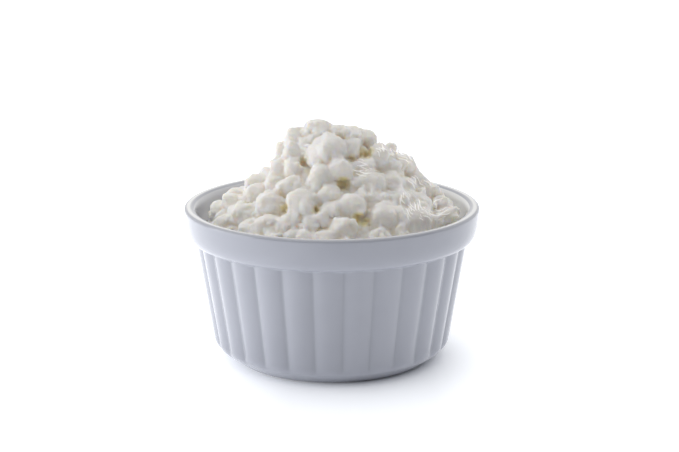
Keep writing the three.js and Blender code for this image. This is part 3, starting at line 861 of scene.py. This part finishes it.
def block_directions(number):
    """The directions of a block's six faces, then its eight corners, rocked a little by NUMBER."""
    faces = np.concatenate([np.eye(3), -np.eye(3)])
    corners = np.array(list(np.ndindex(2, 2, 2))) * 2.0 - 1
    directions = np.concatenate([faces, corners / math.sqrt(3)])
    for axis in range(3):
        rock = BLOCK_ROCK * (2 * chance(number, 70 + axis) - 1)
        first, second = [other for other in range(3) if other != axis]
        turn = np.eye(3)
        turn[first, first] = turn[second, second] = math.cos(rock)
        turn[first, second], turn[second, first] = -math.sin(rock), math.sin(rock)
        directions = directions @ turn
    return directions


def facet_directions(number):
    """Directions spread evenly over the sphere, turned at random by NUMBER."""
    i = np.arange(FACETS) + 0.5
    z = 1 - 2 * i / FACETS
    angle = TURN * i / GOLDEN + TURN * chance(number, 21)
    flat = np.sqrt(1 - z * z)
    directions = np.stack([flat * np.cos(angle), flat * np.sin(angle), z], -1)
    roll = TURN * chance(number, 22)
    turn = [[1, 0, 0], [0, math.cos(roll), -math.sin(roll)], [0, math.sin(roll), math.cos(roll)]]
    return directions @ np.array(turn)


def facets(block, number):
    """Each facet's direction, divided by how far out it lies as a share of the half sizes."""
    if block:
        directions = block_directions(number)
        faces = chosen(BLOCK_FACES, number + np.arange(6), 23)
        distances = np.append(faces, chosen(BLOCK_CORNERS, number + np.arange(8), 23))
    else:
        directions = facet_directions(number)
        distances = chosen(FACET_REACH, number + np.arange(FACETS), 23)
    return (directions / distances[:, None]).astype(np.float32)


def wetness(points):
    """How thick the cream lies at POINTS: it has run together low on the right."""
    return 1 - ease(np.linalg.norm(points - seen_on_dome(*WET_PLACE), axis=-1), *WET_REACH)


class Field:
    """The box of points, how far each lies outside the cheese, and where each is looked up."""

    def __init__(self):
        self.x = np.arange(-FIELD_REACH, FIELD_REACH + FIELD_STEP, FIELD_STEP)
        self.y = self.x.copy()
        self.z = np.arange(FIELD_LOW, FIELD_TOP, FIELD_STEP)
        self.low = np.array([self.x[0], self.y[0], self.z[0]])
        self.high = np.array([self.x[-1], self.y[-1], self.z[-1]])
        self.shape = (len(self.x), len(self.y), len(self.z))
        grid = np.meshgrid(self.x, self.y, self.z, indexing="ij")
        blobs = [WARP_WIDTH / FIELD_STEP] * 3
        self.warped = np.stack([
            axis.astype(np.float32) + WARP * smooth_noise(self.shape, blobs, seed)
            for seed, axis in enumerate(grid)
        ], -1)
        x, y = np.meshgrid(self.x, self.y, indexing="ij")
        dome = dome_height(x, y)
        self.radius = np.hypot(x, y)[..., None]
        self.wetness = wetness(np.stack([x, y, dome], -1))[..., None].astype(np.float32)
        above_core = self.z - (dome - CORE_DEPTH)[..., None]
        self.values = (CORE_SLOPE * above_core).astype(np.float32)
        self.calm = np.zeros(self.shape, np.float32)

    def box(self, centre, reach):
        """The slices that hold the grid's points within REACH of CENTRE."""
        low = np.maximum(np.floor((centre - reach - self.low) / FIELD_STEP).astype(int), 0)
        high = np.ceil((centre + reach - self.low) / FIELD_STEP).astype(int) + 1
        return tuple(slice(a, max(a, b)) for a, b in zip(low, np.minimum(high, self.shape)))

    def add_curd(self, new, melt, seed_shift=0):
        """A curd joins the cheese.  Its gauge is the high-power mean of how far a point lies
        out along each facet's direction, and the curd is where the gauge is under 1."""
        number = new["number"] + seed_shift
        part = self.box(new["centre"], new["half"].max() * CURD_ROOM + melt)
        turned = (new["axes"].T / new["half"]).astype(np.float32)
        local = (self.warped[part] - new["centre"].astype(np.float32)) @ turned
        if local.size == 0:
            return
        towards = np.maximum(local @ facets(new["block"], number).T, 0)
        proud = new["proud"] >= SMOOTH_PROUD
        power = SMOOTH_POWER if proud and not new["block"] else chosen(SHARPNESS, number, 24)
        gauge = (towards ** power).sum(-1) ** (1 / power)
        outside = (gauge - 1) * new["half"].mean()
        self.values[part] = melted(self.values[part], outside, melt)
        if proud:
            self.calm[part] = np.maximum(self.calm[part], 1 - ease(outside, *CALM_REACH))

    def at(self, points, values):
        """VALUES between the grid's points, mixed from the eight around each of POINTS."""
        place = (points - self.low) / FIELD_STEP
        corner = np.clip(place.astype(int), 0, np.array(self.shape) - 2)
        share = place - corner
        total = np.zeros(len(points))
        for step in np.ndindex(2, 2, 2):
            weight = np.prod(np.where(step, share, 1 - share), axis=1)
            total += weight * values[tuple((corner + step).T)]
        return total


def net_surface(values):
    """The surface where VALUES turn from inside to outside, as points in grid steps and quads.

    A cell that the surface crosses gets one point, the mean of the crossings on its edges, and
    each grid edge that it crosses joins the points of the four cells around that edge."""
    inside = values < 0
    corners = [
        inside[tuple(slice(s, n - 1 + s) for s, n in zip(step, values.shape))]
        for step in np.ndindex(2, 2, 2)
    ]
    count = np.sum(corners, axis=0, dtype=np.int8)
    cells = np.argwhere((count > 0) & (count < len(corners)))
    number = np.full(count.shape, -1)
    number[tuple(cells.T)] = np.arange(len(cells))
    total = np.zeros((len(cells), 3))
    crossings = np.zeros(len(cells))
    for axis in range(3):
        across = [a for a in range(3) if a != axis]
        for step in np.ndindex(2, 2):
            start = np.zeros(3, int)
            start[across] = step
            end = start.copy()
            end[axis] = 1
            first = values[tuple((cells + start).T)]
            second = values[tuple((cells + end).T)]
            crossed = (first < 0) != (second < 0)
            share = np.where(crossed, first / np.where(crossed, first - second, 1), 0)
            total += np.where(crossed[:, None], start + share[:, None] * (end - start), 0)
            crossings += crossed
    points = cells + total / crossings[:, None]
    quads = []
    for axis in range(3):
        second, third = (axis + 1) % 3, (axis + 2) % 3
        low = [slice(1, n - 1) for n in values.shape]
        low[axis] = slice(0, values.shape[axis] - 1)
        high = list(low)
        high[axis] = slice(1, values.shape[axis])
        a, b = inside[tuple(low)], inside[tuple(high)]
        for found, order in ((a & ~b, (0, 1, 2, 3)), (~a & b, (3, 2, 1, 0))):
            edges = np.argwhere(found) + [0 if i == axis else 1 for i in range(3)]
            around = []
            for back_second, back_third in ((1, 1), (0, 1), (0, 0), (1, 0)):
                cell = edges.copy()
                cell[:, second] -= back_second
                cell[:, third] -= back_third
                around.append(number[tuple(cell.T)])
            quads.append(np.stack([around[i] for i in order], -1))
    return points, np.concatenate(quads)


# ---- the heap ----


def build_field():
    """The core, the curds and the crumbs between them, then cream in the creases, lobes, folds
    and ridges, all cut to the dish's inside."""
    field = Field()
    curds = fill_curds(front_curds())
    open_gaps(field, wider=1.9, deeper=1.6)
    for new in curds:
        dry = between(DRY_MELT, chance(new["number"], 25) ** 2)
        melt = between((dry, WET_MELT), wetness(new["centre"]))
        field.add_curd(new, melt)
        for knob in knobs(new):
            field.add_curd(knob, melt + KNOB_MELT, KNOB_SEEDS)
    add_crumbs(field)
    fill_creases(field)
    open_gaps(field, wider=0.75, deeper=0.0, least_yellow=0.25)
    add_lobes_and_folds(field)
    add_ridges(field)
    wall = field.radius - (inner_radius(np.minimum(field.z, INNER_TOP)) - WALL_GAP)
    field.values = -melted(-field.values, -wall.astype(np.float32), WALL_MELT)
    return field


def fill_creases(field):
    """Cream in the creases: where the field's local mean lies deeper than the field, it counts."""
    near = blurred(np.clip(field.values, -CREAM_CLIP, CREAM_CLIP), CREAM_REACH)
    field.values = melted(field.values, near + between(CREAM_LIFT, field.wetness), CREAM_MELT)


def add_lobes_and_folds(field):
    """Lobes where the curds are dry and upright folds where the cream is wet.  Each swells by
    s (m - |n|), with noise n and its mean size m, so that its creases are sharp."""
    dryness = between((1, LOBES_IN_CREAM), field.wetness)
    for swell, wide, seed in LOBES:
        noise = smooth_noise(field.shape, [wide / FIELD_STEP] * 3, seed)
        field.values += swell * dryness * (1 - CALMED * field.calm) * (NOISE_SIZE - np.abs(noise))
    deep, wide, long, seed = FOLDS
    noise = smooth_noise(field.shape, np.array([wide, wide, long]) / FIELD_STEP, seed)
    field.values += deep * field.wetness * (NOISE_SIZE - np.abs(noise))


def knobs(new):
    """Smaller lumps on a curd's front and sides, which make it knobbly."""
    number = new["number"]
    for i in range(KNOBS if new["proud"] < SMOOTH_PROUD else 0):
        angle = TURN * (i + KNOB_TURN * chance(number, 40 + i)) / KNOBS
        size = chosen(KNOB_SIZE, number, 50 + i)
        rise = chosen(KNOB_RISE, number, 60 + i)
        flat = math.sqrt(1 - rise * rise)
        reach = KNOB_REACH - KNOB_SINK * new["proud"] - size
        place = reach * np.array([flat * math.cos(angle), flat * math.sin(angle), rise])
        knob = dict(new)
        knob["centre"] = new["centre"] + (place * new["half"]) @ new["axes"]
        knob["half"] = new["half"] * size
        knob["block"] = False
        yield knob


def gap_depth(points, across, up, wide, deep):
    """How far POINTS lie outside a deep gap, an egg-shaped hollow along the line of sight."""
    middle = seen_on_dome(across, up) - GAP_SUNK * VIEW_BACK
    local = points - middle.astype(np.float32)
    along = local @ VIEW_BACK.astype(np.float32)
    aside = np.sqrt(np.maximum((local ** 2).sum(-1) - along ** 2, 0))
    return (np.hypot(aside / (wide / 2), along / deep) - 1) * wide / 2


def open_gaps(field, wider, deeper, least_yellow=0.0):
    """Each deep gap is cut out, WIDER times as wide and DEEPER by so much."""
    for across, up, wide, deep, yellow in DEEP_GAPS:
        if yellow >= least_yellow:
            part = field.box(seen_on_dome(across, up), deep + deeper + GAP_ROOM)
            outside = gap_depth(field.warped[part], across, up, wide * wider, deep + deeper)
            field.values[part] = -melted(-field.values[part], outside, GAP_MELT)


def yellowness(points):
    """How much whey shows at POINTS: full in a deep gap, and gone a little outside it."""
    shown = np.zeros(len(points))
    for across, up, wide, deep, yellow in DEEP_GAPS:
        outside = gap_depth(points, across, up, wide, deep)
        shown = np.maximum(shown, yellow * ease(outside, *WHEY_EDGE))
    return shown


def seen_on_cheese(field, across, up):
    """The point of the cheese, as the field has it, that is seen ACROSS and UP from AIM."""
    points = line_of_sight(across, up)
    within = np.all((points > field.low) & (points < field.high), axis=1)
    inside = np.flatnonzero(within & (field.at(points, field.values) < 0))
    return points[inside[0]] if len(inside) else seen_on_dome(across, up)


def add_ridges(field):
    """Cream drawn up in thin ridges: a chain of small balls along each line."""
    for places in RIDGES:
        line = np.array([seen_on_cheese(field, *place) for place in places])
        lengths = np.append(0, np.cumsum(np.linalg.norm(np.diff(line, axis=0), axis=1)))
        steps = np.linspace(0, lengths[-1], int(lengths[-1] / RIDGE_STEP) + 2)
        chain = np.stack([np.interp(steps, lengths, line[:, axis]) for axis in range(3)], -1)
        ends = ease(np.minimum(steps, lengths[-1] - steps), 0, RIDGE_END)
        for ball, size in zip(chain, RIDGE_RADIUS * between((RIDGE_THINNED, 1), ends)):
            part = field.box(ball, RIDGE_ROOM)
            outside = np.linalg.norm(field.warped[part] - ball.astype(np.float32), axis=-1) - size
            field.values[part] = melted(field.values[part], outside, RIDGE_MELT)


def cream_threads(field):
    """Thin strings of cream.  Each lies on the cheese along its line, shifted sideways and bent
    by chance: a tube whose radius is the thread's own times the root of sin(pi t), so that it
    closes to a point at both ends."""
    points, faces, first = [], [], 0
    t = np.linspace(0, 1, THREAD_STEPS)
    for row, (places, count) in enumerate(THREADS):
        for i in range(count):
            number = 10 * row + i
            start = THREAD_START * chance(number, 81)
            line = bezier(places, start + chosen(THREAD_LENGTH, number, 82) * t)
            along = np.gradient(line, axis=0)
            aside = np.stack([-along[:, 1], along[:, 0]], -1)
            aside /= np.linalg.norm(along, axis=1)[:, None]
            bend = THREAD_BEND * np.sin(TURN * (t + chance(number, 83)))
            line = line + aside * (THREAD_APART * (bend + i - (count - 1) / 2))[:, None]
            path = np.array([seen_on_cheese(field, *place) for place in line])
            path[1:-1] = (path[:-2] + path[1:-1] + path[2:]) / 3
            size = chosen(THREAD_RADIUS, number, 84)
            tube = tube_points(path, size * np.sqrt(np.sin(math.pi * t[1:-1])))
            points.append(tube)
            faces.append([part + first for part in tube_faces()])
            first += len(tube)
    quads, ends = (np.concatenate(parts) for parts in zip(*faces))
    piece("cream_threads", np.concatenate(points), [quads, ends], bare_cream())


def tube_points(path, radii):
    """The rings around PATH's inner points, then its two ends."""
    along = np.gradient(path, axis=0)[1:-1]
    along /= np.linalg.norm(along, axis=1)[:, None]
    side = np.cross(along, VIEW_BACK)
    side /= np.linalg.norm(side, axis=1)[:, None]
    front = np.cross(side, along)
    angle = TURN * np.arange(THREAD_SIDES) / THREAD_SIDES
    ring = np.cos(angle)[:, None] * side[:, None] + np.sin(angle)[:, None] * front[:, None]
    rings = path[1:-1, None] + radii[:, None, None] * ring
    return np.concatenate([rings.reshape(-1, 3), path[[0, -1]]])


def tube_faces():
    """The quads between a thread's rings, and the triangles at its two ends."""
    index = np.arange((THREAD_STEPS - 2) * THREAD_SIDES).reshape(-1, THREAD_SIDES)
    after = np.roll(index, -1, axis=1)
    quads = np.stack([index[:-1], index[1:], after[1:], after[:-1]], -1).reshape(-1, 4)
    start, end = index.size, index.size + 1
    low = np.stack([np.full(THREAD_SIDES, start), index[0], after[0]], -1)
    high = np.stack([np.full(THREAD_SIDES, end), after[-1], index[-1]], -1)
    return quads, np.concatenate([low, high])


def add_crumbs(field):
    """Small curds in the hollows: tried on a spiral, each sunk at random under the dome, and kept
    where its middle lies just outside the curds that are there."""
    number = np.arange(CRUMB_PLACES)
    radius = CRUMB_REACH * np.sqrt((number + 0.5) / CRUMB_PLACES)
    angle = TURN * number / GOLDEN + CRUMB_START
    x, y = radius * np.sin(angle), -radius * np.cos(angle)
    facings = dome_facings(x, y)
    sunk = chosen(CRUMB_SUNK, number, 31)[:, None]
    places = np.stack([x, y, dome_height(x, y)], -1) - sunk * facings[:, 2]
    outside = field.at(places, field.values)
    gaps = np.array([seen_on_dome(across, up) for across, up, *_ in DEEP_GAPS])
    from_gap = np.linalg.norm(places[:, None] - gaps, axis=-1).min(1)
    room = (outside > CRUMB_ROOM[0]) & (outside < CRUMB_ROOM[1]) & (from_gap >= CRUMB_GAP_CLEAR)
    for i in np.flatnonzero(room):
        wide = chosen(CRUMB_SIZE, i, 32)
        tall = wide * chosen(CRUMB_TALLNESS, i, 33)
        small = curd(places[i], (wide, tall), 180 * chance(i, 34), facings[i], i)
        small["half"][2] = wide * CRUMB_DEPTH
        small["centre"] = places[i]
        field.add_curd(small, CRUMB_MELT, CRUMB_SEEDS)


def drawn_onto_surface(field, points):
    """POINTS moved onto the surface along the field's slope g, by -f g / g.g each time."""
    for _ in range(DRAW_STEPS):
        value = field.at(points, field.values)
        slope = np.stack([
            field.at(points + shift, field.values) - field.at(points - shift, field.values)
            for shift in FIELD_STEP / 2 * np.eye(3)
        ], -1) / FIELD_STEP
        points = points - (value / np.maximum((slope ** 2).sum(1), LEAST_SLOPE))[:, None] * slope
    return points


def largest_part(points, quads):
    """The largest connected part of a surface: each corner takes the lowest number that reaches
    it along the edges, until none changes."""
    label = np.arange(len(points))
    while True:
        lowest = label[quads].min(1)
        new = label.copy()
        for corner in range(4):
            np.minimum.at(new, quads[:, corner], lowest)
        new = new[new]
        if np.array_equal(new, label):
            break
        label = new
    kinds, counts = np.unique(label, return_counts=True)
    kept = label == kinds[counts.argmax()]
    number = np.cumsum(kept) - 1
    return points[kept], number[quads[kept[quads[:, 0]]]]


def open_edge(points, quads):
    """The corners on the surface's open lower edge, in their order round the axis."""
    edges = np.concatenate([quads[:, [i, (i + 1) % 4]] for i in range(4)])
    key = np.sort(edges, axis=1) @ [len(points), 1]
    _, first, counts = np.unique(key, return_index=True, return_counts=True)
    rim = np.unique(edges[first[counts == 1]])
    return rim[np.argsort(np.arctan2(points[rim, 0], -points[rim, 1]))]


def closed_below(points, quads):
    """The surface with its open edge carried down along the dish's inside to the floor: all
    points, the side's quads and the triangles to the middle of the bottom."""
    rim = open_edge(points, quads)
    angle = np.arctan2(points[rim, 0], -points[rim, 1])
    height, gap = np.array(FILLING_SIDE).T[..., None]
    radius = inner_radius(height) - gap
    level = np.broadcast_to(height, (len(height), len(rim)))
    rings = np.stack([radius * np.sin(angle), -radius * np.cos(angle), level], -1)
    index = np.concatenate([rim[None], len(points) + np.arange(level.size).reshape(level.shape)])
    after = np.roll(index, -1, axis=1)
    side = np.stack([index[1:], after[1:], after[:-1], index[:-1]], -1).reshape(-1, 4)
    points = np.concatenate([points, rings.reshape(-1, 3), [[0, 0, height[-1, 0]]]])
    middle = np.full(len(rim), len(points) - 1)
    return points, side, np.stack([middle, after[-1], index[-1]], -1)


def cheese():
    """The heap: the field's surface, closed below, and the cream threads on it."""
    field = build_field()
    points, quads = net_surface(field.values)
    points = drawn_onto_surface(field, field.low + FIELD_STEP * points)
    points, quads = largest_part(points, quads)
    points, side, bottom = closed_below(points, quads)
    faces = [quads, side, bottom]
    made = piece("cottage_cheese_curds", points, faces, curd_and_cream())
    # how closely each point is hemmed in by cheese, which sets the painted shade in the hollows
    filled = blurred((field.values < 0).astype(np.float32), HOLLOW_REACH)
    least, most = HOLLOW_FILLED
    hollow = np.clip((field.at(points, filled) - least) / (most - least), 0, 1)
    attribute(made, "hollow", hollow)
    attribute(made, "deep", yellowness(points))
    attribute(made, "wet", wetness(points))
    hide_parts("cottage_cheese")
    cream_threads(field)


# ---- stage, light and camera ----


def floor_material():
    """A pale table with a faint glow of painted light.  The glow is g (1 - k (f / d) ^ p), with the foot's
    radius f and the distance d from the dish's middle, a painted shadow near the dish; it is painted
    brighter to the left and far to the right, and fades far ahead as painted shade."""
    material, tree, shader = new_material("white_table")
    shader.inputs["Base Color"].default_value = (*TABLE, 1)
    shader.inputs["Roughness"].default_value = 0.6
    shader.inputs["Emission Color"].default_value = (*TABLE_LIGHT, 1)
    place = tree.nodes.new("ShaderNodeTexCoord")
    distance = tree.nodes.new("ShaderNodeVectorMath")
    distance.operation = "LENGTH"
    tree.links.new(place.outputs["Object"], distance.inputs[0])
    closeness = tree.nodes.new("ShaderNodeMath")
    closeness.operation = "DIVIDE"
    closeness.inputs[0].default_value = FOOT_RADIUS * MM
    tree.links.new(distance.outputs["Value"], closeness.inputs[1])
    shade = tree.nodes.new("ShaderNodeMath")
    shade.operation = "POWER"
    shade.inputs[1].default_value = SHADE_POWER
    tree.links.new(closeness.outputs["Value"], shade.inputs[0])
    split = tree.nodes.new("ShaderNodeSeparateXYZ")
    tree.links.new(place.outputs["Object"], split.inputs["Vector"])
    axis, reach, strengths = SHADE_CHANGE
    depth = add_range(tree, split.outputs[axis], reach, strengths)
    shaded = add_product(tree, shade.outputs["Value"], depth)
    glow = add_range(tree, shaded, (0, 1), (TABLE_PAINTED_GLOW, 0.0))
    for axis, reach, strengths in PAINTED_GLOW_CHANGES:
        change = add_range(tree, split.outputs[axis], reach, strengths)
        glow = add_product(tree, glow, change)
    tree.links.new(glow, shader.inputs["Emission Strength"])
    return material


def table():
    """A square sheet, far larger than the dish."""
    half = TABLE_SIZE / 2
    points = np.array([[-half, -half, 0], [half, -half, 0], [half, half, 0], [-half, half, 0]])
    mesh = bpy.data.meshes.new("table")
    mesh.from_pydata((points * MM).tolist(), [], [(0, 1, 2, 3)])
    mesh.materials.append(floor_material())
    made = bpy.data.objects.new("table", mesh)
    bpy.context.scene.collection.objects.link(made)


def soft_light(name, place, size, power, colour):
    """A square lamp SIZE metres across at PLACE, turned to the dish."""
    lamp = bpy.data.lights.new(name, "AREA")
    lamp.shape = "SQUARE"
    lamp.size = size
    lamp.energy = power
    lamp.color = colour
    made = bpy.data.objects.new(name, lamp)
    made.location = place
    made.rotation_euler = direction_to_euler(np.array(LAMP_AIM) - np.array(place))
    bpy.context.scene.collection.objects.link(made)


def direction_to_euler(towards):
    """The turn that points an object's -Z along TOWARDS, with its Y kept up."""
    return Vector(towards).to_track_quat("-Z", "Y").to_euler()


def surroundings():
    """A studio that is bright behind and above the dish, less so at its sides and dim ahead."""
    world = bpy.data.worlds.new("studio")
    world.use_nodes = True
    tree = world.node_tree
    background = tree.nodes["Background"]
    place = tree.nodes.new("ShaderNodeTexCoord")
    split = tree.nodes.new("ShaderNodeSeparateXYZ")
    tree.links.new(place.outputs["Generated"], split.inputs["Vector"])
    colour = STUDIO_DIM
    for axis, reach, brightness in STUDIO_SIDES:
        share = add_range(tree, split.outputs[axis], reach, (0, 1))
        colour = add_mix(tree, share, colour, brightness)
    tree.links.new(colour, background.inputs["Color"])
    background.inputs["Strength"].default_value = STUDIO_STRENGTH
    bpy.context.scene.world = world


def lights():
    """The studio, a large warm lamp above and behind, and a cool one at the left."""
    surroundings()
    soft_light("overhead", (-0.05, 0.2, 0.9), 1.2, 2.0, (1.0, 0.985, 0.96))
    soft_light("left", (-1.0, -0.12, 0.22), 0.8, 4.4, (0.97, 0.98, 1.0))
    bpy.context.scene.view_settings.view_transform = "Standard"


def camera():
    """The viewpoint: ahead of the dish, a little above it and a touch to the right."""
    lens = bpy.data.cameras.new("camera")
    lens.sensor_width = SENSOR_WIDTH
    lens.lens = FOCAL_LENGTH
    lens.clip_start = 0.01
    made = bpy.data.objects.new("camera", lens)
    made.location = (EYE + [CAMERA_ASIDE, 0, 0]) * MM
    made.rotation_euler = direction_to_euler(-VIEW_BACK)
    bpy.context.scene.collection.objects.link(made)
    bpy.context.scene.camera = made


camera()
table()
lights()
ramekin()
cheese()
